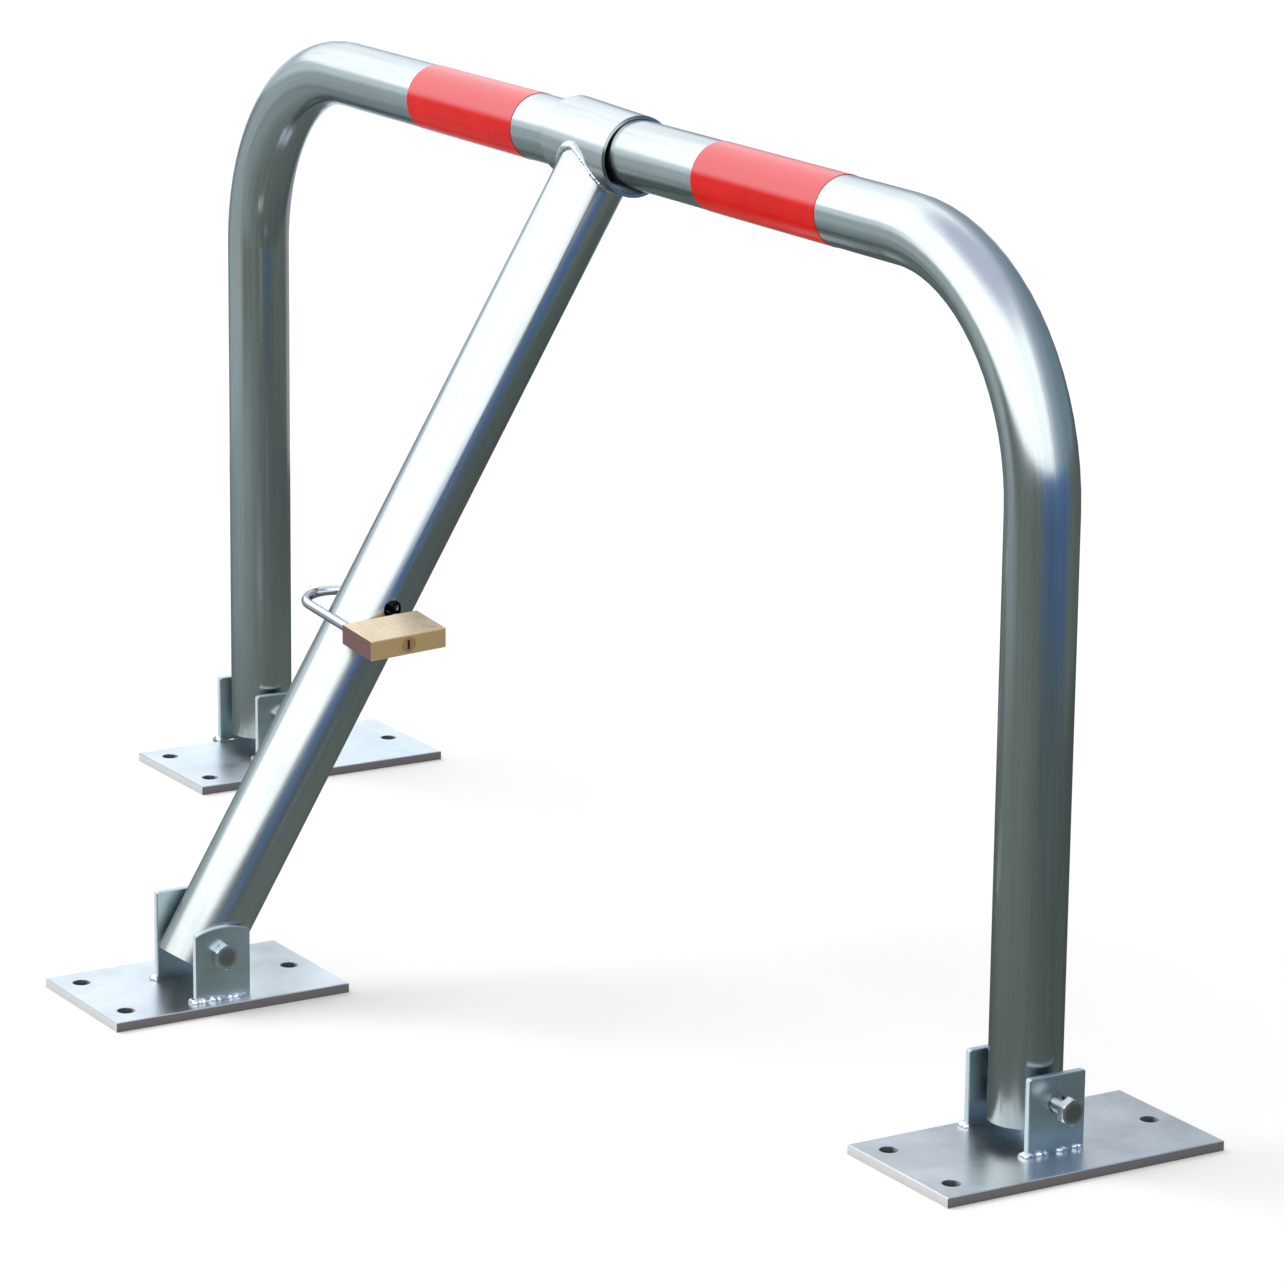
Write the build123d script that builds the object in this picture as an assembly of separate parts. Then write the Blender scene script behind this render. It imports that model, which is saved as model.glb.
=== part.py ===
from build123d import *
import math
import os

# Fold-down parking barrier: a bent tube hoop hinged on two base plates, and a telescopic strut that
# turns on the crossbar with a collar, is hinged on a third base plate and is locked by a padlock.
# Millimetres and degrees. +X runs along the crossbar, the strut's foot is on the -Y side, Z is up.
# The origin is on the ground, under the centre of the whole barrier.

os.makedirs("parts", exist_ok=True)

# Hoop
hoop_tube_d = 50.0
hoop_wall = 2.5
hoop_width = 1100.0          # between the axes of the two legs
bar_height = 592.0           # axis of the crossbar above the ground
bend_radius = 160.0          # on the tube's axis
pivot_height = 40.0          # axis of every foot bolt above the ground
leg_end_drop = 20.0          # sawn end of a leg below its bolt

# Red bands round the crossbar
band_width = 157.0
band_thickness = 0.3
far_band_x = -175.0
near_band_x = 234.0

# Collar on the crossbar
collar_d = 60.0
collar_wall = 2.5
collar_length = 86.0
collar_seat = 0.3            # gap left where the collar hangs on the bar
collar_skew = 2.0            # the collar hangs askew, its +X end lower

# Strut
strut_reach = 332.0          # foot bolt of the strut in front of the hoop's plane
strut_d = 54.0
strut_wall = 2.0
strut_end_drop = 16.0        # sawn end of the outer tube below its foot bolt
slide_gap = 0.25             # radial gap between the two tubes of the strut
inner_wall = 2.5
inner_end_drop = 12.0        # end of the inner tube below the foot bolt
inner_top = 420.0            # other end of the inner tube, along the strut from the foot bolt
slide_play = 2.0             # how far the locked strut can still slide out
fork_gap = 0.5               # round the foot bolt in the outer tube's open slots

# Base plates and their ears
plate_width = 117.0
plate_thickness = 7.0
outer_plate_length = 222.0
middle_plate_length = 185.0
plate_hole_d = 13.0
hole_inset_x = 22.0
hole_inset_y = 18.0
ear_thickness = 5.0
ear_height = 54.0
ear_hole_d = 14.0
ear_corner_radius = 2.0
plate_edge = 0.6             # broken edge round the top of a plate
ear_edge = 0.5
outer_ear_width = 45.0
outer_ear_gap = 64.0
middle_ear_width = 43.0
middle_ear_gap = 57.0
middle_ear_dome = 4.0        # rise of the curved top of the middle foot's +X ear
tall_ear_height = 66.0       # the middle foot's -X ear, which is square at the top
near_plate_shift = (15.0, 0.0)
far_plate_shift = (28.0, 12.0)
middle_plate_shift = (-14.0, 3.0)

# Foot bolts and nuts
bolt_d = 10.0
bolt_head_flats = 17.0
bolt_head_height = 6.4
bolt_seat = 0.1              # bolt above the bottom of the ear's larger hole
pivot_gap = 0.05             # radial running gap in the tubes' bolt holes
nut_height = 8.0
nut_gap = 0.1
bolt_tip = 3.0               # thread past the nut
near_bolt_proud = 12.0       # the near bolt stands this far out of its ear
chamfer_depth = 1.2

# Welds
weld_radius = 4.0
weld_lengths = (4.0, 8.0, 6.0)
weld_places = (-0.42, -0.02, 0.36)   # along the ear, as a share of its width
weld_spot_radius = 4.0       # at the inner -Y corner of each ear
collar_weld = 3.5

# Padlock
lock_place = 274.0           # along the strut from the foot bolt
lock_drop = 1.0              # shackle's toe below the middle of the holes
lock_droop = 4.5             # the body hangs lower than the bow
lock_tilt = 3.0              # the front leg is a little lower than the toe
lock_hole_d = 14.0
shackle_d = 7.0
shackle_pitch = 42.0         # between the axes of its legs
shackle_reach = 65.0         # straight part between the body and the bow
toe_depth = 14.0
heel_depth = 27.0
heel_bore_depth = 37.0
shackle_gap = 0.15
lock_body_gap = 17.0         # body clear of the strut
lock_body_width = 60.0
lock_body_height = 45.0
lock_body_thickness = 14.5
lock_bevel = 2.0
lock_edge = 0.6
plug_d = 11.0
plug_length = 27.0
plug_gap = 0.05
keyway_width = 2.0
keyway_height = 7.0
keyway_depth = 22.0
pin_d = 2.6
pin_count = 5
pin_pitch = 3.8
pin_first = 4.5              # first pin behind the plug's face
pin_row_length = 9.0         # chamber beyond the plug
key_pin_length = 3.5
driver_pin_length = 4.5
pin_gap = 0.05
latch_d = 5.0
latch_place = 8.0            # axis of the latch below the top of the body
latch_notch = 1.8            # depth of the notch in the shackle's toe
latch_length = 24.0
latch_gap = 0.1
tail_d = 3.0                 # pin on the plug's end, which draws the latch back
tail_offset = 1.2            # of the pin from the plug's axis
spring_seat = 0.2
shackle_spring_wire = 0.9
shackle_spring_turns = 4.5
latch_spring_wire = 0.6
latch_spring_turns = 6.5

# Places that follow from the sizes
skew = math.radians(collar_skew)
collar_axis = Vector(math.cos(skew), 0, -math.sin(skew))
bar_sag = (collar_d - 2 * collar_wall - hoop_tube_d) / 2 - collar_seat - collar_length / 2 * math.sin(skew)
foot_pivot = Vector(0, -strut_reach, pivot_height)
collar_centre = Vector(0, 0, bar_height - bar_sag)
collar_start = collar_centre - collar_axis * (collar_length / 2)
strut_vector = collar_centre - foot_pivot
strut_length = strut_vector.length
strut_angle = math.degrees(math.atan2(strut_vector.Z, strut_vector.Y))
inner_d = strut_d - 2 * strut_wall - 2 * slide_gap
ear_hole_rise = (ear_hole_d - bolt_d) / 2 - bolt_seat

reach_far = -hoop_width / 2 - outer_ear_gap / 2 - ear_thickness - nut_height - bolt_tip
reach_near = hoop_width / 2 + near_plate_shift[0] + plate_width / 2
reach_front = -strut_reach + middle_plate_shift[1] - middle_plate_length / 2
reach_back = far_plate_shift[1] + outer_plate_length / 2
origin_shift = Vector(-(reach_far + reach_near) / 2, -(reach_front + reach_back) / 2, 0)


def save(node, *solids):
    """Move the solids from the hoop's own axes to the barrier's origin and write them as one node."""
    placed = [solid.moved(Location(origin_shift)) for solid in solids]
    shape = placed[0] if len(placed) == 1 else Compound(children=placed)
    export_step(shape, f"parts/{node}.step")


def rod(diameter, start, length, direction=(1, 0, 0)):
    """A round bar from start along direction."""
    plane = Plane(origin=start, z_dir=direction)
    return extrude(plane * Circle(diameter / 2), length)


def tube(diameter, wall, start, length, direction=(1, 0, 0)):
    """A straight tube from start along direction."""
    plane = Plane(origin=start, z_dir=direction)
    ring = Circle(diameter / 2) - Circle(diameter / 2 - wall)
    return extrude(plane * ring, length)


def hexagon(flats, height, start, direction):
    """A hexagon bar, chamfered round at the end away from start."""
    plane = Plane(origin=start, x_dir=(0, 0, 1), z_dir=direction)
    bar = extrude(plane * RegularPolygon(flats / 2, 6, major_radius=False), height)
    corner_r = flats / math.sqrt(3)
    turned = extrude(plane * Circle(corner_r), height)
    turned = chamfer(turned.faces().sort_by(Axis(start, direction))[-1].edges(), chamfer_depth)
    return bar & turned


def coil(outer_d, wire, turns, start, length, direction):
    """A compression spring along direction, its wire lying within the length."""
    radius = (outer_d - wire) / 2
    rise = length - wire
    origin = Vector(*start) + Vector(*direction) * (wire / 2)
    path = Helix(pitch=rise / turns, height=rise, radius=radius, center=origin, direction=direction)
    section = Plane(origin=path @ 0, z_dir=path % 0) * Circle(wire / 2)
    return sweep(section, path=path, is_frenet=True)


def hoop():
    """The bent tube, with a bolt hole through the end of each leg."""
    foot_z = pivot_height - leg_end_drop
    half = hoop_width / 2
    path = FilletPolyline(
        (-half, 0, foot_z), (-half, 0, bar_height), (half, 0, bar_height), (half, 0, foot_z), radius=bend_radius
    )
    start = Plane(origin=(-half, 0, foot_z), z_dir=(0, 0, 1))
    outside = sweep(start * Circle(hoop_tube_d / 2), path=path)
    inside = sweep(start * Circle(hoop_tube_d / 2 - hoop_wall), path=path)
    body = outside - inside
    for side in (-half, half):
        body -= rod(bolt_d + 2 * pivot_gap, (side - hoop_tube_d, 0, pivot_height), 2 * hoop_tube_d)
    return body


def band(centre_x):
    """A band of film wrapped round the crossbar."""
    start = (centre_x - band_width / 2, 0, bar_height)
    return tube(hoop_tube_d + 2 * band_thickness, band_thickness, start, band_width)


def collar():
    """The short tube that turns on the crossbar and carries the strut."""
    return tube(collar_d, collar_wall, collar_start, collar_length, collar_axis)


def along_strut(distance):
    """The point on the strut's axis at this distance from the foot bolt."""
    return foot_pivot + strut_vector * (distance / strut_length)


def cross_slot(diameter, centre_distance, slot_length):
    """A slot cutter through the strut along X: round at centre_distance, open towards slot_length."""
    plane = Plane(origin=along_strut(centre_distance), x_dir=strut_vector.normalized(), z_dir=(1, 0, 0))
    middle = Pos(slot_length / 2, 0) * Rectangle(abs(slot_length), diameter)
    ends = Circle(diameter / 2) + Pos(slot_length, 0) * Circle(diameter / 2)
    return extrude(plane * (middle + ends), strut_d, both=True)


def lock_frame():
    """Origin on the strut's axis, x along the shackle's legs, y across them, z out of the body's broad face."""
    droop = math.radians(lock_droop)
    tilt = math.radians(lock_tilt)
    leg_axis = Vector(math.cos(droop), 0, -math.sin(droop))
    level = Vector(0, -1, 0)
    downward = leg_axis.cross(level)
    to_front_leg = level * math.cos(tilt) + downward * math.sin(tilt)
    origin = along_strut(lock_place) - Vector(0, 0, lock_drop)
    return Plane(origin=origin, x_dir=leg_axis, z_dir=to_front_leg.cross(leg_axis))


def strut_outer():
    """The upper tube: fitted to the collar, drilled for the shackle, forked over the foot bolt."""
    start = along_strut(-strut_end_drop)
    body = tube(strut_d, strut_wall, start, strut_length + strut_end_drop, strut_vector)
    body -= rod(collar_d, collar_centre - collar_axis * collar_length, 2 * collar_length, collar_axis)
    body -= rod(lock_hole_d, along_strut(lock_place) - Vector(strut_d, 0, 0), 2 * strut_d)
    body -= cross_slot(bolt_d + 2 * fork_gap, 0, -2 * strut_end_drop)
    return body


def strut_inner():
    """The lower tube, hinged on the foot bolt inside the upper one."""
    start = along_strut(-inner_end_drop)
    body = tube(inner_d, inner_wall, start, inner_top + inner_end_drop, strut_vector)
    body -= cross_slot(lock_hole_d, lock_place, slide_play)
    body -= rod(bolt_d + 2 * pivot_gap, foot_pivot - Vector(strut_d, 0, 0), 2 * strut_d)
    return body


def collar_bead():
    """The weld round the joint of strut and collar."""
    start = along_strut(strut_length - collar_d)
    ring = tube(strut_d + 2 * collar_weld, collar_weld, start, collar_d, strut_vector)
    skin = tube(collar_d + 2 * collar_weld, collar_weld, collar_start, collar_length, collar_axis)
    return ring & skin


class Foot:
    """A base plate with two upright ears, their welds, and the bolt and nut through them."""

    def __init__(self, x, y, length, shift, ear_width, ear_gap, dome=0.0, inner_height=ear_height, proud=0.0):
        self.x = x
        self.y = y
        self.length = length
        self.centre = Vector(x + shift[0], y + shift[1], 0)
        self.ear_width = ear_width
        self.ear_gap = ear_gap
        self.dome = dome
        self.inner_height = inner_height
        self.proud = proud

    def plate(self):
        body = Pos(self.centre.X, self.centre.Y, plate_thickness / 2) * Box(plate_width, self.length, plate_thickness)
        body = chamfer(body.faces().sort_by(Axis.Z)[-1].edges(), plate_edge)
        across = plate_width / 2 - hole_inset_x
        along = self.length / 2 - hole_inset_y
        for dx, dy in ((-across, -along), (across, -along), (0, along)):
            body -= rod(plate_hole_d, self.centre + Vector(dx, dy, 0), plate_thickness, (0, 0, 1))
        return body

    def ear_inner_x(self, side):
        return self.x + side * self.ear_gap / 2

    def ear(self, side):
        """One ear: side is 1 for the +X ear and -1 for the other."""
        half = self.ear_width / 2
        dome = self.dome if side == 1 else 0.0
        top = plate_thickness + (ear_height if side == 1 else self.inner_height)
        shoulder = top - dome
        plane = Plane(origin=(self.ear_inner_x(side), self.y, 0), x_dir=(0, side, 0), z_dir=(side, 0, 0))
        sides = Polyline((-half, shoulder), (-half, plate_thickness), (half, plate_thickness), (half, shoulder))
        if dome:
            outline = sides + ThreePointArc((half, shoulder), (0, top), (-half, shoulder))
        else:
            outline = sides + Line((half, shoulder), (-half, shoulder))
        face = make_face(outline)
        upper = [corner for corner in face.vertices() if corner.Y > plate_thickness + ear_height / 2]
        face = fillet(upper, ear_corner_radius)
        body = extrude(plane * face, ear_thickness)
        sides = body.faces().sort_by(Axis.X)
        rims = sides[0].edges() + sides[-1].edges()
        body = chamfer([rim for rim in rims if rim.center().Z > plate_thickness + ear_edge], ear_edge)
        hole_z = pivot_height + ear_hole_rise
        return body - rod(ear_hole_d, (self.x - side * self.ear_gap, self.y, hole_z), 2 * self.ear_gap, (side, 0, 0))

    def weld_bead(self, x, y, length):
        """A rounded bead lying in the corner between an ear and the plate."""
        start = Vector(x, y - length / 2, plate_thickness)
        end = start + Vector(0, length, 0)
        body = rod(2 * weld_radius, start, length, (0, 1, 0))
        for point in (start, end):
            body += Pos(point) * Sphere(weld_radius)
        return body

    def welds(self):
        """Stitches along the outer foot of each ear, and a spot at its inner -Y corner."""
        solids = []
        plate_block = Pos(self.centre.X, self.centre.Y, 0) * Box(
            2 * plate_width, 2 * self.length, 2 * plate_thickness
        )
        for side in (-1, 1):
            inner_x = self.ear_inner_x(side)
            outer_x = inner_x + side * ear_thickness
            ear_block = Pos((inner_x + outer_x) / 2, self.y, plate_thickness) * Box(
                ear_thickness, self.ear_width, ear_height
            )
            for place, length in zip(weld_places, weld_lengths):
                bead = self.weld_bead(outer_x, self.y + place * self.ear_width, length)
                bead = bead - ear_block - plate_block
                solids += [piece for piece in bead.solids() if (piece.center().X - outer_x) * side > 0]
            spot_y = self.y - self.ear_width / 2
            spot = Pos(inner_x, spot_y, plate_thickness) * Sphere(weld_spot_radius)
            spot = spot - ear_block - plate_block
            solids += [piece for piece in spot.solids() if piece.center().Y < spot_y]
        return solids

    def bolt(self):
        """The hexagon bolt, its head on the +X side."""
        outer = self.ear_gap / 2 + ear_thickness
        head_x = self.x + outer + self.proud
        tip_x = self.x - outer - nut_height - bolt_tip
        shank = rod(bolt_d, (tip_x, self.y, pivot_height), head_x - tip_x)
        shank = chamfer(shank.faces().sort_by(Axis.X)[0].edges(), chamfer_depth)
        return shank + hexagon(bolt_head_flats, bolt_head_height, (head_x, self.y, pivot_height), (1, 0, 0))

    def nut(self):
        """The nut, against the outside of the -X ear."""
        seat_x = self.x - self.ear_gap / 2 - ear_thickness
        start = (seat_x, self.y, pivot_height)
        body = hexagon(bolt_head_flats, nut_height, start, (-1, 0, 0))
        return body - rod(bolt_d + 2 * nut_gap, start, nut_height, (-1, 0, 0))

    def save(self, name):
        save(f"{name}_plate", self.plate())
        save(f"{name}_ear_outer", self.ear(1))
        save(f"{name}_ear_inner", self.ear(-1))
        save(f"{name}_ear_welds", *self.welds())
        save(f"{name}_bolt", self.bolt())
        save(f"{name}_nut", self.nut())


def in_lock(frame, shape):
    """Move a shape from the padlock's own axes to its place on the strut."""
    return frame.location * shape


def lock_rod(diameter, x, y, length):
    """A round bar along the padlock's x axis, in the padlock's own axes."""
    return rod(diameter, (x, y, 0), length)


class Padlock:
    """Brass padlock in its own axes: the toe of the shackle lies on the x axis and passes through the strut."""

    def __init__(self):
        self.top = strut_d / 2 + lock_body_gap
        self.bottom = self.top + lock_body_height
        self.middle_y = -shackle_pitch / 2
        self.heel_y = -shackle_pitch
        self.plug_start = self.bottom - plug_length
        self.latch_x = self.top + latch_place
        self.latch_end_y = -(shackle_d / 2 - latch_notch)
        self.latch_start_y = self.latch_end_y - latch_length
        self.latch_bore_y = self.heel_y + shackle_d / 2 + shackle_gap + 1

    def pin_x(self, index):
        return self.bottom - pin_first - index * pin_pitch

    def body(self):
        centre = ((self.top + self.bottom) / 2, self.middle_y, 0)
        shape = Pos(centre) * Box(lock_body_height, lock_body_width, lock_body_thickness)
        shape = chamfer(shape.faces().sort_by(Axis.X)[0].edges(), lock_bevel)
        shape = chamfer(shape.faces().sort_by(Axis.X)[-1].edges(), lock_edge)
        bore = shackle_d + 2 * shackle_gap
        shape -= lock_rod(bore, self.top, 0, toe_depth + 1)
        shape -= lock_rod(bore, self.top, self.heel_y, heel_bore_depth)
        shape -= lock_rod(plug_d + 2 * plug_gap, self.plug_start - plug_gap, self.middle_y, plug_length + plug_gap)
        row_start = self.middle_y - plug_d / 2
        for index in range(pin_count):
            start = (self.pin_x(index), row_start + 1, 0)
            shape -= rod(pin_d + 2 * pin_gap, start, pin_row_length + 1, (0, -1, 0))
        latch_bore = latch_d + 2 * latch_gap
        shape -= rod(latch_bore, (self.latch_x, self.latch_bore_y, 0), -self.latch_bore_y, (0, 1, 0))
        tail_room = tail_d + 2 * tail_offset + 1
        shape -= lock_rod(tail_room, self.latch_x, self.middle_y, self.plug_start - self.latch_x)
        return shape

    def shackle(self):
        legs_start = self.top - shackle_reach
        radius = shackle_pitch / 2
        toe = Line((self.top + toe_depth, 0), (legs_start, 0))
        bow = ThreePointArc((legs_start, 0), (legs_start - radius, -radius), (legs_start, -shackle_pitch))
        heel = Line((legs_start, -shackle_pitch), (self.top + heel_depth, -shackle_pitch))
        section = Plane(origin=toe @ 0, z_dir=(-1, 0, 0)) * Circle(shackle_d / 2)
        shape = sweep(section, path=Wire([toe, bow, heel]))
        notch_y = self.latch_end_y - shackle_d / 2
        notch = Pos(self.latch_x, notch_y, 0) * Box(latch_d + 2 * latch_gap, shackle_d, shackle_d)
        return shape - notch

    def latch(self):
        shape = rod(latch_d, (self.latch_x, self.latch_start_y, 0), latch_length, (0, 1, 0))
        slot_y = self.middle_y + tail_offset
        slot = Pos(self.latch_x + latch_d / 2, slot_y, 0) * Box(latch_d, tail_d + 2 * latch_gap, latch_d)
        return shape - slot

    def shackle_spring(self):
        """Pushes the heel up from the bottom of its bore."""
        room = heel_bore_depth - heel_depth - 2 * spring_seat
        start = (self.top + heel_depth + spring_seat, self.heel_y, 0)
        return coil(shackle_d, shackle_spring_wire, shackle_spring_turns, start, room, (1, 0, 0))

    def latch_spring(self):
        """Pushes the latch into the notch of the shackle's toe."""
        room = self.latch_start_y - self.latch_bore_y - 2 * spring_seat
        start = (self.latch_x, self.latch_bore_y + spring_seat, 0)
        return coil(latch_d, latch_spring_wire, latch_spring_turns, start, room, (0, 1, 0))

    def plug(self):
        shape = lock_rod(plug_d, self.plug_start, self.middle_y, plug_length)
        slot_x = self.bottom - keyway_depth / 2
        shape -= Pos(slot_x, self.middle_y, 0) * Box(keyway_depth, keyway_width, keyway_height)
        for index in range(pin_count):
            start = (self.pin_x(index), self.middle_y - keyway_width / 2 + 0.5, 0)
            shape -= rod(pin_d + 2 * pin_gap, start, plug_d, (0, -1, 0))
        tail_start = self.latch_x + latch_gap
        return shape + lock_rod(tail_d, tail_start, self.middle_y + tail_offset, self.plug_start - tail_start)

    def pins(self):
        """A key pin and a driver pin in each chamber, the drivers across the edge of the plug."""
        solids = []
        key_start = self.middle_y - keyway_width / 2
        driver_start = key_start - key_pin_length
        for index in range(pin_count):
            x = self.pin_x(index)
            solids.append(rod(pin_d, (x, key_start, 0), key_pin_length, (0, -1, 0)))
            solids.append(rod(pin_d, (x, driver_start, 0), driver_pin_length, (0, -1, 0)))
        return solids

    def save(self):
        frame = lock_frame()
        save("padlock_body", in_lock(frame, self.body()))
        save("padlock_shackle", in_lock(frame, self.shackle()))
        save("padlock_latch", in_lock(frame, self.latch()))
        save("padlock_latch_spring", in_lock(frame, self.latch_spring()))
        save("padlock_shackle_spring", in_lock(frame, self.shackle_spring()))
        save("padlock_plug", in_lock(frame, self.plug()))
        save("padlock_pins", *[in_lock(frame, pin) for pin in self.pins()])


save("hoop", hoop())
save("far_band", band(far_band_x))
save("near_band", band(near_band_x))
save("collar", collar())
save("collar_weld", collar_bead())
save("strut_outer_tube", strut_outer())
save("strut_inner_tube", strut_inner())

outer_ears = {"ear_width": outer_ear_width, "ear_gap": outer_ear_gap}
Foot(hoop_width / 2, 0, outer_plate_length, near_plate_shift, proud=near_bolt_proud, **outer_ears).save("near")
Foot(-hoop_width / 2, 0, outer_plate_length, far_plate_shift, **outer_ears).save("far")
middle_ears = {"ear_width": middle_ear_width, "ear_gap": middle_ear_gap, "dome": middle_ear_dome}
Foot(
    0, -strut_reach, middle_plate_length, middle_plate_shift, inner_height=tall_ear_height, **middle_ears
).save("middle")
Padlock().save()

lock = lock_frame()
print("origin shift", origin_shift)
print("strut angle", round(strut_angle, 3), "length", round(strut_length, 3))
print("lock origin", lock.origin + origin_shift, "x", lock.x_dir, "y", lock.y_dir, "z", lock.z_dir)
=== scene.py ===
import bmesh
import bpy
import math
import random
from mathutils import Matrix, Vector, noise


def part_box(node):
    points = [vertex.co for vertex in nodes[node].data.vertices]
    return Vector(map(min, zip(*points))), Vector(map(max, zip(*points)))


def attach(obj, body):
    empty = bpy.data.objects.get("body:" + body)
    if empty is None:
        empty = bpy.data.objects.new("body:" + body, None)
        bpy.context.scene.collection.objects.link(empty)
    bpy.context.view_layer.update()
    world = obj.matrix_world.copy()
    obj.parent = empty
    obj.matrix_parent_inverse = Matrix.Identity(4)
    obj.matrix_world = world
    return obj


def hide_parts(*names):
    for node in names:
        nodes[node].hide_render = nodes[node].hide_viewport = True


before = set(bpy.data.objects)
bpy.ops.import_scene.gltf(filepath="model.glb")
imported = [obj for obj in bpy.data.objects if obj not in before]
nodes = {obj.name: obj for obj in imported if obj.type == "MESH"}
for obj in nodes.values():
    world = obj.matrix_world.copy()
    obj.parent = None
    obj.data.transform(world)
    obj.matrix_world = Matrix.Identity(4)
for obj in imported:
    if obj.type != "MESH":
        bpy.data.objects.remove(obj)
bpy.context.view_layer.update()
scene = bpy.context.scene
random.seed(7)

# Sizes in metres that the looks share with the model
SHIFT = Vector((-0.01275, 0.14925, 0.0))  # where the middle of the legs' hinge line lies in the frame
LEG_X = 0.55
BAR_Z = 0.592
BEND = 0.16
STRUT_ANGLE = math.radians(58.943)
STRUT_DIRECTION = Vector((0.0, math.cos(STRUT_ANGLE), math.sin(STRUT_ANGLE)))
STRUT_RADIUS = 0.027
FOOT_PIVOT = Vector((0.0, -0.332, 0.040)) + SHIFT
COLLAR_CENTRE = Vector((0.0, 0.0, 0.5913)) + SHIFT
COLLAR_RADIUS = 0.030
COLLAR_SKEW = math.radians(2.0)
LOCK_DROOP = math.radians(-4.5)
PLATE_TOP = 0.007
SHANK_REACH = 0.0052  # just over a foot bolt's radius
THREAD_PITCH = 0.0015
WELD_RADIUS = 0.004
WELD_VOXEL = 0.0007
DROP_SPACING = 0.0011
CORNER_DROPS = 9
SADDLE_DROPS = 72

# The studio round the barrier, in metres
WALL = 0.575
WALL_REACH = (1.75, 1.45)
SCREEN_LOW, SCREEN_HIGH = 0.50, 0.90
SCREEN_REACH = (1.80, 1.50)
SCREEN_END_BEHIND, SCREEN_END_IN_FRONT = -0.5, -1.15
GROUND_REACH = (1.9, 1.6)
GROUND_LIFT = 0.0004
DOME = 5.0
FLOOR_REACH = (40, 40)
WORLD_LEVEL = 0.80

# The camera at the photograph's angle; lengths in metres, the lens in pixels of the photograph's frame
AZIMUTH, ELEVATION, ROLL = math.radians(58.57), math.radians(14.48), math.radians(0.66)
AIM = Vector((0, 0, 0.26)) + SHIFT
CAMERA_DISTANCE = 3.9247
ASIDE, BELOW = 0.0293, 0.0375
LENS_PIXELS = 5317.4
FRAME_PIXELS = 1284
SENSOR = 36.0


class Graph:
    """A material's node graph, built with short calls."""

    def __init__(self, name):
        self.material = bpy.data.materials.new(name)
        self.material.use_nodes = True
        self.tree = self.material.node_tree
        self.tree.nodes.clear()
        self.output = self.tree.nodes.new("ShaderNodeOutputMaterial")

    def new(self, kind, **settings):
        node = self.tree.nodes.new("ShaderNode" + kind)
        for key, value in settings.items():
            setattr(node, key, value)
        return node

    def put(self, socket, value):
        if isinstance(value, bpy.types.NodeSocket):
            self.tree.links.new(value, socket)
        elif value is not None:
            socket.default_value = value

    def math(self, operation, a, b=None, c=None):
        node = self.new("Math", operation=operation)
        for socket, value in zip(node.inputs, (a, b, c)):
            self.put(socket, value)
        return node.outputs[0]

    def length(self, a, b):
        return self.math("SQRT", self.math("ADD", self.math("MULTIPLY", a, a), self.math("MULTIPLY", b, b)))

    def place(self):
        return self.new("TexCoord").outputs["Object"]

    def facing(self):
        """The surface's own direction, which turns with the piece."""
        return self.split(self.new("TexCoord").outputs["Normal"])

    def split(self, vector):
        node = self.new("SeparateXYZ")
        self.put(node.inputs[0], vector)
        return node.outputs

    def join(self, x, y, z):
        node = self.new("CombineXYZ")
        for socket, value in zip(node.inputs, (x, y, z)):
            self.put(socket, value)
        return node.outputs[0]

    def mapped(self, vector, scale=(1, 1, 1), turn=(0, 0, 0), move=(0, 0, 0)):
        node = self.new("Mapping")
        self.put(node.inputs["Vector"], vector)
        node.inputs["Location"].default_value = move
        node.inputs["Rotation"].default_value = turn
        node.inputs["Scale"].default_value = scale
        return node.outputs[0]

    def noise(self, vector, scale, detail=3.0, rough=0.5, distort=0.0):
        node = self.new("TexNoise")
        self.put(node.inputs["Vector"], vector)
        node.inputs["Scale"].default_value = scale
        node.inputs["Detail"].default_value = detail
        node.inputs["Roughness"].default_value = rough
        node.inputs["Distortion"].default_value = distort
        return node.outputs["Fac"]

    def range(self, value, low, high, to_low, to_high):
        node = self.new("MapRange")
        for socket, number in zip(node.inputs, (value, low, high, to_low, to_high)):
            self.put(socket, number)
        return node.outputs[0]

    def ramp(self, value, *stops):
        node = self.new("ValToRGB")
        self.put(node.inputs[0], value)
        elements = node.color_ramp.elements
        while len(elements) < len(stops):
            elements.new(0.5)
        for element, (position, colour) in zip(elements, stops):
            element.position = position
            element.color = (*colour, 1.0)
        return node.outputs[0]

    def mix(self, factor, a, b, blend="MIX"):
        node = self.new("Mix", data_type="RGBA", blend_type=blend)
        self.put(node.inputs[0], factor)
        for socket, value in zip((node.inputs[6], node.inputs[7]), (a, b)):
            self.put(socket, (*value, 1.0) if isinstance(value, tuple) else value)
        return node.outputs[2]

    def bump(self, height, distance, strength=1.0, normal=None):
        node = self.new("Bump")
        self.put(node.inputs["Height"], height)
        node.inputs["Distance"].default_value = distance
        node.inputs["Strength"].default_value = strength
        self.put(node.inputs["Normal"], normal)
        return node.outputs[0]

    def finish(self, **inputs):
        shader = self.new("BsdfPrincipled")
        for key, value in inputs.items():
            socket = shader.inputs[key.replace("_", " ").title().replace("Ior", "IOR")]
            self.put(socket, (*value, 1.0) if isinstance(value, tuple) else value)
        self.tree.links.new(shader.outputs[0], self.output.inputs[0])
        return self.material


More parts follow.
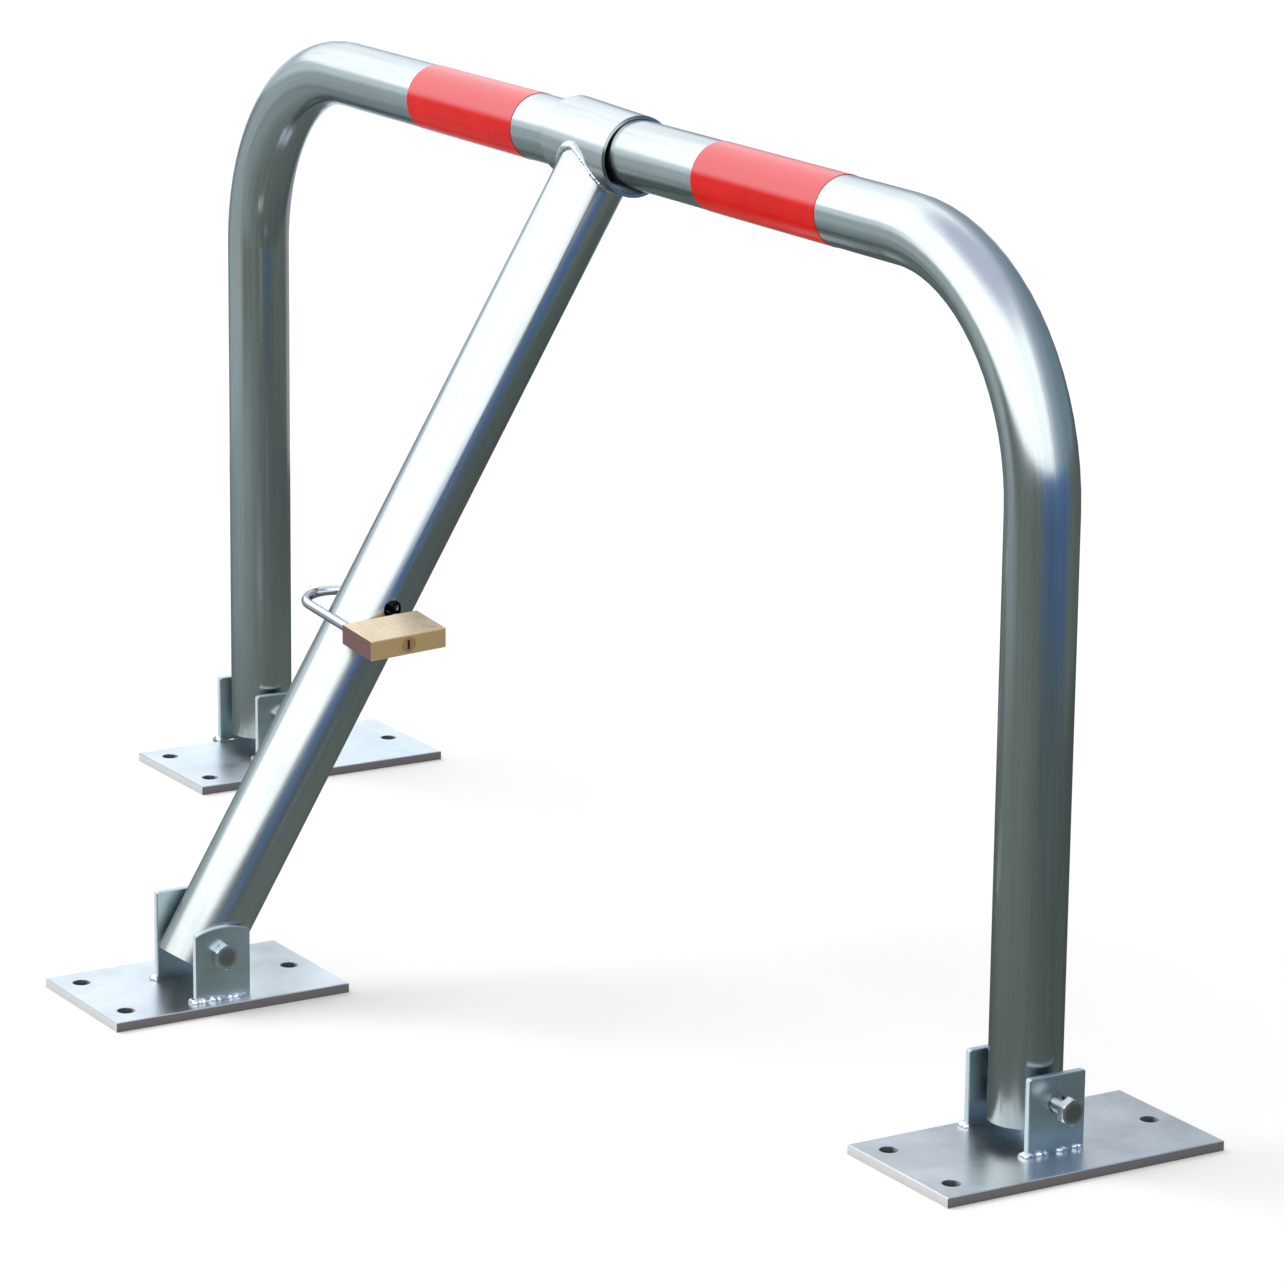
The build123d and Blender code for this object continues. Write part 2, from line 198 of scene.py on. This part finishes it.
def hoop_lines(graph):
    """Coordinates round and along the bent tube, so that drawing lines follow its bends."""
    x, y, z = graph.split(graph.mapped(graph.place(), move=(-SHIFT.x, -SHIFT.y, 0)))
    out_x = graph.math("MAXIMUM", graph.math("SUBTRACT", graph.math("ABSOLUTE", x), LEG_X - BEND), 0.0)
    out_z = graph.math("MAXIMUM", graph.math("SUBTRACT", z, BAR_Z - BEND), 0.0)
    distance = graph.length(out_x, out_z)
    across = graph.math("SUBTRACT", distance, BEND)
    turn = graph.math("MULTIPLY", graph.math("ARCTAN2", out_x, out_z), BEND)
    on_bar = graph.math("MINIMUM", graph.math("ABSOLUTE", x), LEG_X - BEND)
    on_leg = graph.math("MAXIMUM", graph.math("SUBTRACT", BAR_Z - BEND, z), 0.0)
    along = graph.math("ADD", graph.math("ADD", on_bar, turn), on_leg)
    side = graph.math("MULTIPLY", graph.math("SIGN", x), 3.0)
    return graph.join(across, y, graph.math("ADD", along, side))


def straight_lines(turn):
    """Coordinates of a straight tube, turned so that its axis is Z."""
    def lines(graph):
        return graph.mapped(graph.place(), turn=turn)
    return lines


def tube_material(name, lines, tint=(0.60, 0.65, 0.645)):
    """Bright zinc on drawn tube: faint drawing lines, soft clouds, a mirror gloss that greys at grazing angles."""
    graph = Graph(name)
    vector = lines(graph)
    fine = graph.noise(graph.mapped(vector, scale=(1, 1, 0.012)), 520, 4, 0.62)
    broad = graph.noise(graph.mapped(vector, scale=(1, 1, 0.03)), 80, 3, 0.55)
    cloud = graph.noise(graph.mapped(vector, scale=(1, 1, 0.4)), 26, 4, 0.6)
    specks = graph.noise(graph.place(), 900, 2, 0.5)
    streaks = graph.math("ADD", graph.math("MULTIPLY", fine, 0.45), graph.math("MULTIPLY", broad, 0.55))
    dark = tuple(value * 0.86 for value in tint)
    light = tuple(min(value * 1.08, 1.0) for value in tint)
    colour = graph.ramp(streaks, (0.34, dark), (0.5, tint), (0.66, light))
    colour = graph.mix(graph.range(cloud, 0.45, 0.75, 0.0, 0.35), colour, (0.50, 0.51, 0.46))
    rough = graph.math("ADD", graph.range(streaks, 0.3, 0.7, 0.13, 0.19), graph.range(cloud, 0.3, 0.7, 0.0, 0.06))
    normal = graph.bump(streaks, 0.00008, 0.4)
    normal = graph.bump(specks, 0.00003, 0.3, normal)
    return graph.finish(base_color=colour, metallic=1.0, roughness=rough, normal=normal,
                        specular_tint=(0.66, 0.68, 0.71))


def plate_material(name, tint, rough_low, rough_high, lit_sawn_colour, shaded_rolled_colour=None):
    """Bright zinc on flat bar: satin faces, sawn ends painted pale as painted light, on the plates dull rolled
    edges painted dark as painted shade, and painted shade on the hole walls.
    """
    graph = Graph(name)
    place = graph.place()
    cloud = graph.noise(place, 22, 3, 0.5)
    mottle = graph.noise(place, 120, 4, 0.6)
    grain = graph.noise(graph.mapped(place, scale=(0.15, 1, 1)), 700, 3, 0.6)
    scratch = graph.noise(graph.mapped(place, scale=(1, 0.02, 0.02), turn=(0, 0, 0.5)), 320, 2, 0.5)
    shade = graph.math("ADD", graph.math("MULTIPLY", cloud, 0.7), graph.math("MULTIPLY", mottle, 0.3))
    colour = graph.ramp(shade, (0.34, tuple(v * 0.88 for v in tint)), (0.5, tint),
                        (0.66, tuple(min(v * 1.10, 1) for v in tint)))
    rough = graph.math("ADD", graph.range(shade, 0.3, 0.7, rough_low, rough_high),
                       graph.range(scratch, 0.55, 0.75, 0.0, 0.06))
    x, y, z = graph.facing()
    # Painted light: ends facing along Y get a pale colour, as where light falls on them, on a rougher, less
    # metallic sawn finish.
    side = graph.range(graph.math("ABSOLUTE", y), 0.80, 0.95, 0.0, 1.0)
    colour = graph.mix(side, colour, lit_sawn_colour)
    if shaded_rolled_colour:
        # Painted shade: edges facing along X get a dark brown colour, as where they lie in shade, on a rougher,
        # less metallic rolled finish.
        rolled = graph.range(graph.math("ABSOLUTE", x), 0.80, 0.95, 0.0, 1.0)
        colour = graph.mix(rolled, colour, shaded_rolled_colour)
        side = graph.math("MAXIMUM", side, rolled)
    rough = graph.math("MAXIMUM", rough, graph.math("MULTIPLY", side, 0.5))
    metal = graph.math("SUBTRACT", 1.0, graph.math("MULTIPLY", side, 0.7))
    # Painted shade: on closed-in upright walls, such as the bolt holes, the colour turns dark navy.
    hollow = graph.new("AmbientOcclusion", samples=6)
    hollow.inputs["Distance"].default_value = 0.02
    painted_hole_shade = graph.math("MULTIPLY", graph.range(hollow.outputs["AO"], 0.28, 0.42, 1.0, 0.0),
                         graph.range(graph.math("ABSOLUTE", z), 0.2, 0.5, 1.0, 0.0))
    colour = graph.mix(painted_hole_shade, colour, (0.020, 0.035, 0.060))
    edge = graph.new("Bevel", samples=4)
    edge.inputs["Radius"].default_value = 0.0009
    normal = graph.bump(shade, 0.00006, 0.15, edge.outputs[0])
    normal = graph.bump(grain, 0.00001, 0.3, normal)
    return graph.finish(base_color=colour, metallic=metal, roughness=rough, normal=normal)


def bolt_material(name, axis_y):
    """Bright zinc on a bolt and its nut; the thread is fine rings on the shank, whose axis is at this y."""
    graph = Graph(name)
    place = graph.place()
    x, y, z = graph.split(place)
    speckle = graph.noise(place, 260, 4, 0.6)
    colour = graph.ramp(speckle, (0.3, (0.66, 0.68, 0.69)), (0.6, (0.78, 0.79, 0.80)))
    rough = graph.range(speckle, 0.3, 0.7, 0.14, 0.24)
    radius = graph.length(graph.math("SUBTRACT", y, axis_y), graph.math("SUBTRACT", z, FOOT_PIVOT.z))
    on_shank = graph.math("LESS_THAN", radius, SHANK_REACH)
    # Painted shade: the middle of each flat end face is painted dark purple-grey, leaving a bright ring at its
    # rim.
    across = graph.math("ABSOLUTE", graph.facing()[0])
    painted_face_shade = graph.math("MULTIPLY", graph.range(across, 0.85, 0.97, 0.0, 1.0),
                         graph.range(radius, 0.0058, 0.0072, 1.0, 0.0))
    colour = graph.mix(graph.math("MULTIPLY", painted_face_shade, 0.75), colour, (0.30, 0.27, 0.31))
    ring = graph.math("SINE", graph.math("MULTIPLY", x, 2 * math.pi / THREAD_PITCH))
    edge = graph.new("Bevel", samples=4)
    edge.inputs["Radius"].default_value = 0.0007
    normal = graph.bump(graph.math("MULTIPLY", ring, on_shank), 0.0004, 0.8, edge.outputs[0])
    normal = graph.bump(speckle, 0.00002, 0.3, normal)
    return graph.finish(base_color=colour, metallic=1.0, roughness=rough, normal=normal)


def weld_material():
    """A bright plated weld with fine ripples and grey pits."""
    graph = Graph("zinc_weld")
    place = graph.place()
    ripple = graph.noise(place, 380, 3, 0.6)
    pits = graph.noise(place, 160, 3, 0.6)
    colour = graph.ramp(ripple, (0.3, (0.80, 0.83, 0.86)), (0.65, (0.93, 0.95, 0.97)))
    colour = graph.mix(graph.range(pits, 0.60, 0.74, 0.0, 0.6), colour, (0.36, 0.40, 0.44))
    rough = graph.range(ripple, 0.3, 0.7, 0.14, 0.30)
    return graph.finish(base_color=colour, metallic=1.0, roughness=rough, normal=graph.bump(ripple, 0.0003, 0.5))


def film_material():
    """Red reflective film: glossy, with faint clouding and fine dust, and a painted highlight on its upper side.
    """
    graph = Graph("red_film")
    place = graph.place()
    cloud = graph.noise(place, 30, 4, 0.6)
    dust = graph.noise(place, 1500, 2, 0.5)
    colour = graph.ramp(cloud, (0.3, (0.62, 0.006, 0.003)), (0.7, (0.74, 0.010, 0.005)))
    colour = graph.mix(graph.range(dust, 0.64, 0.80, 0.0, 0.03), colour, (0.8, 0.3, 0.28))
    # Painted highlight: the upward-facing part of the film is painted pale pink.
    painted_top_highlight = graph.range(graph.facing()[2], 0.17, 0.30, 0.0, 0.68)
    colour = graph.mix(painted_top_highlight, colour, (0.80, 0.20, 0.22))
    normal = graph.bump(graph.noise(place, 60, 3, 0.5), 0.00006, 0.2)
    return graph.finish(base_color=colour, roughness=graph.range(cloud, 0.3, 0.7, 0.14, 0.20), ior=1.55,
                        specular_ior_level=0.15, normal=normal)


def brass_material(name, tint, rough_low, rough_high, sides, ends):
    """Brushed brass: fine lines across the body, warmer patches, and duller narrow sides and ends painted darker
    as painted shade.
    """
    graph = Graph(name)
    place = graph.place()
    lines = graph.noise(graph.mapped(place, scale=(0.02, 1, 1), turn=(0, LOCK_DROOP, 0)), 1100, 3, 0.6)
    cloud = graph.noise(place, 60, 4, 0.6)
    colour = graph.ramp(lines, (0.3, tuple(v * 0.86 for v in tint)), (0.7, tint))
    colour = graph.mix(graph.range(cloud, 0.45, 0.75, 0.0, 0.35), colour, (0.70, 0.50, 0.25))
    x, y, z = graph.facing()
    narrow = graph.range(graph.math("ABSOLUTE", y), 0.6, 0.9, 0.0, 1.0)
    end = graph.range(graph.math("ABSOLUTE", x), 0.6, 0.9, 0.0, 1.0)
    # Painted shade: ends and narrow sides get darker colours; their lower metal value is a duller finish.
    colour = graph.mix(end, colour, ends)
    colour = graph.mix(narrow, colour, sides)
    metal = graph.range(graph.math("MAXIMUM", narrow, end), 0.0, 1.0, 0.62, 0.40)
    edge = graph.new("Bevel", samples=4)
    edge.inputs["Radius"].default_value = 0.0005
    normal = graph.bump(lines, 0.00004, 0.4, edge.outputs[0])
    return graph.finish(base_color=colour, metallic=metal, normal=normal,
                        roughness=graph.range(lines, 0.3, 0.7, rough_low, rough_high))


def chrome_material():
    """Chrome on the shackle and latch, a little smeared."""
    graph = Graph("bright_chrome")
    place = graph.place()
    smear = graph.noise(place, 120, 3, 0.5)
    colour = graph.ramp(smear, (0.3, (0.62, 0.63, 0.66)), (0.7, (0.76, 0.77, 0.80)))
    return graph.finish(base_color=colour, metallic=1.0, roughness=graph.range(smear, 0.3, 0.7, 0.06, 0.13),
                        specular_tint=(0.5, 0.5, 0.55))


def dress(material, *names):
    """Gives the named CAD pieces a material."""
    for name in names:
        slots = nodes[name].data.materials
        if len(slots) == 0:
            slots.append(material)
        for index in range(len(slots)):
            slots[index] = material


strut_turn = (math.pi / 2 - STRUT_ANGLE, 0, 0)
dress(tube_material("zinc_hoop", hoop_lines), "hoop")
dress(tube_material("zinc_strut", straight_lines(strut_turn), (0.62, 0.665, 0.66)),
      "strut_outer_tube", "strut_inner_tube")
dress(tube_material("zinc_collar", straight_lines((0, math.pi / 2, 0)), (0.62, 0.66, 0.67)), "collar")
# The pale sawn colours of plate and ear are painted light; the plate's dark rolled colour is painted shade.
plate = plate_material("zinc_plate", (0.68, 0.725, 0.75), 0.27, 0.35, (0.86, 0.86, 0.85), (0.20, 0.185, 0.18))
ear = plate_material("zinc_ear", (0.56, 0.67, 0.71), 0.28, 0.42, (0.72, 0.83, 0.88))
weld = weld_material()
for foot, axis_y in (("near", SHIFT.y), ("far", SHIFT.y), ("middle", FOOT_PIVOT.y)):
    dress(plate, foot + "_plate")
    dress(ear, foot + "_ear_outer", foot + "_ear_inner")
    dress(bolt_material("zinc_bolt_" + foot, axis_y), foot + "_bolt", foot + "_nut")
dress(film_material(), "near_band", "far_band")
# Painted shade: the dark colour painted on the padlock's narrow sides.
shaded_brass = (0.24, 0.13, 0.12)
dress(brass_material("brushed_brass", (0.93, 0.77, 0.54), 0.26, 0.38, shaded_brass, (0.54, 0.38, 0.17)),
      "padlock_body")
dress(brass_material("plug_brass", (0.74, 0.56, 0.32), 0.28, 0.40, shaded_brass, (0.38, 0.24, 0.10)),
      "padlock_plug", "padlock_pins")
dress(chrome_material(), "padlock_shackle", "padlock_latch")
spring = Graph("spring_steel")
speckle = spring.noise(spring.place(), 900, 3, 0.6)
spring_colour = spring.ramp(speckle, (0.3, (0.40, 0.41, 0.42)), (0.7, (0.60, 0.61, 0.62)))
dress(spring.finish(base_color=spring_colour, metallic=1.0, roughness=0.3),
      "padlock_latch_spring", "padlock_shackle_spring")


def lump_mesh(name, drops, voxel, wobble, seed):
    """Weld metal: drops (centre, radius) fused to one skin, then roughened by noise."""
    bm = bmesh.new()
    for centre, radius in drops:
        made = bmesh.ops.create_icosphere(bm, subdivisions=3, radius=radius)
        bmesh.ops.translate(bm, verts=made["verts"], vec=centre)
    mesh = bpy.data.meshes.new(name)
    bm.to_mesh(mesh)
    bm.free()
    obj = bpy.data.objects.new(name, mesh)
    scene.collection.objects.link(obj)
    fuse = obj.modifiers.new("fuse", "REMESH")
    fuse.mode = "VOXEL"
    fuse.voxel_size = voxel
    soften = obj.modifiers.new("soften", "SMOOTH")
    soften.iterations = 5
    fused = bpy.data.meshes.new_from_object(obj.evaluated_get(bpy.context.evaluated_depsgraph_get()))
    obj.modifiers.clear()
    obj.data = fused
    bpy.data.meshes.remove(mesh)
    offset = Vector((seed * 3.1, seed * 1.7, seed * 2.3))
    for vertex in fused.vertices:
        push = noise.noise(vertex.co * 420 + offset) * 0.7 + noise.noise(vertex.co * 1100 + offset) * 0.3
        vertex.co += vertex.normal * (push * wobble)
    for polygon in fused.polygons:
        polygon.use_smooth = True
    fused.materials.append(weld)
    return obj


def ear_drops(foot, side, share):
    """Drops along the outer foot of one ear, and a larger one round its -Y corner."""
    low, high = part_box(foot + ("_ear_outer" if side > 0 else "_ear_inner"))
    outer_x = high[0] if side > 0 else low[0]
    inner_x = low[0] if side > 0 else high[0]
    front, width = low[1], high[1] - low[1]
    drops = []
    for place, length in share:
        count = max(3, round(length / DROP_SPACING))
        for i in range(count):
            y = front + width * place + length * (i / (count - 1) - 0.5)
            radius = WELD_RADIUS * random.uniform(0.60, 0.95)
            x = outer_x + side * random.uniform(-0.0004, 0.0006)
            drops.append((Vector((x, y, PLATE_TOP + 0.0003)), radius))
    for i in range(CORNER_DROPS):
        place = Vector((inner_x + side * 0.0006 * i, front - random.uniform(0.0, 0.0014), PLATE_TOP))
        drops.append((place, WELD_RADIUS * random.uniform(0.65, 1.0)))
    return drops


# Each foot's stitches, as (place as a share of the ear's width, length in metres)
stitches = {
    "near": ((0.09, 0.008), (0.24, 0.005), (0.60, 0.004), (0.88, 0.003)),
    "far": ((0.10, 0.006), (0.48, 0.007), (0.85, 0.006)),
    "middle": ((0.10, 0.005), (0.42, 0.009), (0.76, 0.010)),
}
for index, (foot, share) in enumerate(stitches.items()):
    drops = ear_drops(foot, 1, share) + ear_drops(foot, -1, share)
    beads = lump_mesh(foot + "_weld_beads", drops, WELD_VOXEL, 0.0005, index + 1)
    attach(beads, "foot" if foot == "middle" else "base")
    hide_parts(foot + "_ear_welds")

# The bead round the joint of strut and collar follows the line where the two tubes meet
collar_axis = Vector((math.cos(COLLAR_SKEW), 0, -math.sin(COLLAR_SKEW)))
strut_side = Vector((1, 0, 0))
strut_up = STRUT_DIRECTION.cross(strut_side).normalized()
saddle = []
for i in range(SADDLE_DROPS):
    turn = 2 * math.pi * i / SADDLE_DROPS
    start = FOOT_PIVOT + (strut_side * math.cos(turn) + strut_up * math.sin(turn)) * STRUT_RADIUS
    offset = start - COLLAR_CENTRE
    across = offset - collar_axis * offset.dot(collar_axis)
    along = STRUT_DIRECTION - collar_axis * STRUT_DIRECTION.dot(collar_axis)
    a, b, c = along.dot(along), 2 * across.dot(along), across.dot(across) - COLLAR_RADIUS ** 2
    run = (-b - math.sqrt(b * b - 4 * a * c)) / (2 * a)
    crown = max(0.0, -math.sin(turn + 0.35)) ** 3
    swell = 0.5 + 0.5 * math.sin(turn * 7 + 0.8) * math.sin(turn * 3 + 0.3)
    radius = 0.0013 + 0.0016 * crown + 0.0008 * swell + random.uniform(-0.0002, 0.0003)
    saddle.append((start + STRUT_DIRECTION * run, radius))
bead = lump_mesh("collar_weld_bead", saddle, WELD_VOXEL, 0.0006, 9)
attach(bead, "strut")
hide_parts("collar_weld")


def card(name, verts, faces, material):
    """A studio card that lamps and the camera pass through: it is only there to be reflected in the metal."""
    mesh = bpy.data.meshes.new(name)
    mesh.from_pydata(verts, [], faces)
    obj = bpy.data.objects.new(name, mesh)
    obj.data.materials.append(material)
    scene.collection.objects.link(obj)
    obj.visible_camera = False
    obj.visible_diffuse = False
    obj.visible_shadow = False
    obj.visible_transmission = False
    return obj


def sheet(reach, height):
    x, y = reach
    return [(-x, -y, height), (x, -y, height), (x, y, height), (-x, y, height)], [(0, 1, 2, 3)]


def ring(reach, low, high, count=96):
    """An upright oval wall round the middle."""
    verts, faces = [], []
    for z in (low, high):
        for i in range(count):
            turn = 2 * math.pi * i / count
            verts.append((reach[0] * math.cos(turn), reach[1] * math.sin(turn), z))
    for i in range(count):
        j = (i + 1) % count
        faces.append((i, j, count + j, count + i))
    return verts, faces


def glow(name, colour_of):
    """A card's own light, coloured by a function of its graph."""
    graph = Graph(name)
    shader = graph.new("Emission")
    graph.put(shader.inputs[0], colour_of(graph))
    shader.inputs[1].default_value = 1.0
    graph.tree.links.new(shader.outputs[0], graph.output.inputs[0])
    return graph.material


def lean(graph, x, y, towards_x, towards_y):
    """1 where the direction from the middle points as given, falling to 0 at its sides."""
    dot = graph.math("ADD", graph.math("MULTIPLY", x, towards_x), graph.math("MULTIPLY", y, towards_y))
    cosine = graph.math("DIVIDE", dot, graph.math("MAXIMUM", graph.length(x, y), 0.001))
    return graph.math("MAXIMUM", cosine, 0.0)


def wall_colour(graph):
    """Dark and greenish, blue to the right, mid-grey to the left, and pale and grey behind the feet."""
    x, y, z = graph.split(graph.place())
    height = graph.range(z, 0.0, WALL, 0.0, 1.0)
    colour = graph.ramp(height, (0.0, (0.17, 0.195, 0.17)), (0.6, (0.14, 0.17, 0.17)), (0.88, (0.16, 0.20, 0.23)),
                        (1.0, (0.32, 0.40, 0.46)))
    patches = graph.noise(graph.place(), 2.2, 3, 0.55)
    colour = graph.mix(graph.range(patches, 0.40, 0.65, 0.0, 0.35), colour, (0.15, 0.15, 0.125))
    right = graph.range(lean(graph, x, y, 0.985, 0.17), 0.80, 0.95, 0.0, 1.0)
    colour = graph.mix(right, colour, graph.ramp(height, (0.05, (0.12, 0.14, 0.13)), (0.14, (0.07, 0.14, 0.29)),
                                                 (0.9, (0.09, 0.18, 0.38)), (1.0, (0.30, 0.45, 0.70))))
    left = graph.range(lean(graph, x, y, -0.84, -0.54), 0.78, 0.92, 0.0, 1.0)
    colour = graph.mix(left, colour, (0.44, 0.51, 0.54))
    return graph.mix(behind_feet(graph, x, y), colour, feet_colour(graph, x, y))


def behind_feet(graph, x, y):
    """1 on the part of the wall that the base plates mirror."""
    return graph.range(lean(graph, x, y, -0.83, 0.56), 0.86, 0.93, 0.0, 1.0)


def feet_colour(graph, x, y):
    """Pale for the far and middle plates, grey for the near one."""
    pale = graph.range(lean(graph, x, y, -0.95, 0.31), 0.93, 0.975, 0.0, 1.0)
    return graph.mix(pale, (0.50, 0.50, 0.55), (1.10, 1.22, 1.34))


def screen_colour(graph):
    """The upper wall: pale to the left, and as the wall is behind the feet, but grey at its top."""
    x, y, z = graph.split(graph.place())
    top = graph.range(z, 0.70, 0.85, 0.0, 1.0)
    feet = graph.mix(top, feet_colour(graph, x, y), (0.52, 0.54, 0.58))
    return graph.mix(behind_feet(graph, x, y), (0.74, 0.84, 0.90), feet)


def ground_colour(graph):
    """Dark round the barrier and behind it, paler far out to the left."""
    x, y, z = graph.split(graph.place())
    patches = graph.noise(graph.place(), 1.6, 3, 0.55)
    side = graph.math("ADD", graph.math("MULTIPLY", x, 0.52), graph.math("MULTIPLY", y, 0.85))
    colour = graph.ramp(graph.range(side, -1.6, 1.6, 0.0, 1.0),
                        (0.0, (0.26, 0.31, 0.32)), (0.42, (0.185, 0.22, 0.21)),
                        (0.7, (0.10, 0.125, 0.12)), (1.0, (0.09, 0.12, 0.12)))
    far = graph.range(graph.math("SUBTRACT", graph.math("MULTIPLY", y, -0.8), x), 0.5, 1.5, 0.0, 1.0)
    colour = graph.mix(far, colour, (0.34, 0.41, 0.44))
    return graph.mix(graph.range(patches, 0.35, 0.65, 0.0, 0.35), colour, (0.15, 0.15, 0.13))


def sky_colour(graph):
    """White towards the front and left, blue-grey overhead and behind."""
    x, y, z = graph.split(graph.mapped(graph.place(), scale=(1 / DOME, 1 / DOME, 1 / DOME)))
    behind = graph.math("ADD", y, graph.math("MULTIPLY", x, 0.25))
    colour = graph.ramp(graph.range(behind, -0.2, 1.0, 0.0, 1.0),
                        (0.0, (1.70, 1.72, 1.76)), (0.38, (1.55, 1.6, 1.66)), (0.50, (0.75, 0.81, 0.90)),
                        (0.64, (0.42, 0.50, 0.60)), (0.9, (0.22, 0.30, 0.36)))
    top = graph.range(z, 0.82, 0.95, 0.0, 0.85)
    return graph.mix(top, colour, (0.62, 0.66, 0.92))


def dome(radius, rings=16, count=48):
    """Half a sphere, open below."""
    verts, faces = [], []
    for i in range(rings + 1):
        rise = math.pi / 2 * i / rings
        for j in range(count):
            turn = 2 * math.pi * j / count
            verts.append((radius * math.cos(rise) * math.cos(turn), radius * math.cos(rise) * math.sin(turn),
                          radius * math.sin(rise) - 0.001))
    for i in range(rings):
        for j in range(count):
            k = (j + 1) % count
            faces.append((i * count + j, i * count + k, (i + 1) * count + k, (i + 1) * count + j))
    return verts, faces


def left_part(verts, faces):
    """The faces of the screen that stand to the left, further round behind the barrier than in front of it."""
    kept = []
    for face in faces:
        x, y, z = verts[face[0]]
        if x < (SCREEN_END_BEHIND if y > 0 else SCREEN_END_IN_FRONT):
            kept.append(face)
    return kept


card("horizon_card", *ring(WALL_REACH, 0.0, WALL), glow("horizon_glow", wall_colour))
verts, faces = ring(SCREEN_REACH, SCREEN_LOW, SCREEN_HIGH)
card("screen_card", verts, left_part(verts, faces), glow("screen_glow", screen_colour))
card("ground_card", *sheet(GROUND_REACH, GROUND_LIFT), glow("ground_glow", ground_colour))
card("sky_card", *dome(DOME), glow("sky_glow", sky_colour))

# Floor, world and lamp
floor_mesh = bpy.data.meshes.new("floor")
verts, faces = sheet(FLOOR_REACH, 0)
floor_mesh.from_pydata(verts, [], faces)
floor = bpy.data.objects.new("floor", floor_mesh)
floor_mesh.materials.append(Graph("white_floor").finish(base_color=(0.97, 0.97, 0.97), roughness=0.9))
scene.collection.objects.link(floor)

world = bpy.data.worlds.new("plain_white")
world.use_nodes = True
tree = world.node_tree
background = tree.nodes["Background"]
background.inputs[0].default_value = (1, 1, 1, 1)
seen = tree.nodes.new("ShaderNodeLightPath")
level = tree.nodes.new("ShaderNodeMapRange")
level.inputs["To Min"].default_value = WORLD_LEVEL
level.inputs["To Max"].default_value = 1.0
tree.links.new(seen.outputs["Is Camera Ray"], level.inputs["Value"])
tree.links.new(level.outputs[0], background.inputs[1])
scene.world = world

lamp_data = bpy.data.lights.new("key", "SUN")
lamp_data.energy = 1.2
lamp_data.angle = math.radians(35)
lamp = bpy.data.objects.new("key", lamp_data)
lamp.rotation_euler = Vector((0.50, 0.40, -0.77)).to_track_quat("-Z", "Y").to_euler()
lamp.visible_glossy = False
scene.collection.objects.link(lamp)

# Camera
level_reach = math.cos(ELEVATION)
back = Vector((math.sin(AZIMUTH) * level_reach, -math.cos(AZIMUTH) * level_reach, math.sin(ELEVATION)))
right = (-back).cross(Vector((0, 0, 1))).normalized()
up = right.cross(-back).normalized()
right, up = (right * math.cos(ROLL) + up * math.sin(ROLL), up * math.cos(ROLL) - right * math.sin(ROLL))
place = AIM + back * CAMERA_DISTANCE + right * ASIDE - up * BELOW
camera_data = bpy.data.cameras.new("camera")
camera_data.sensor_width = SENSOR
camera_data.lens = LENS_PIXELS / FRAME_PIXELS * SENSOR
camera_data.clip_start = 0.1
camera_data.clip_end = 200.0
camera = bpy.data.objects.new("camera", camera_data)
camera.matrix_world = Matrix((
    (right.x, up.x, back.x, place.x),
    (right.y, up.y, back.y, place.y),
    (right.z, up.z, back.z, place.z),
    (0, 0, 0, 1)
))
scene.collection.objects.link(camera)
scene.camera = camera
scene.view_settings.view_transform = "Standard"
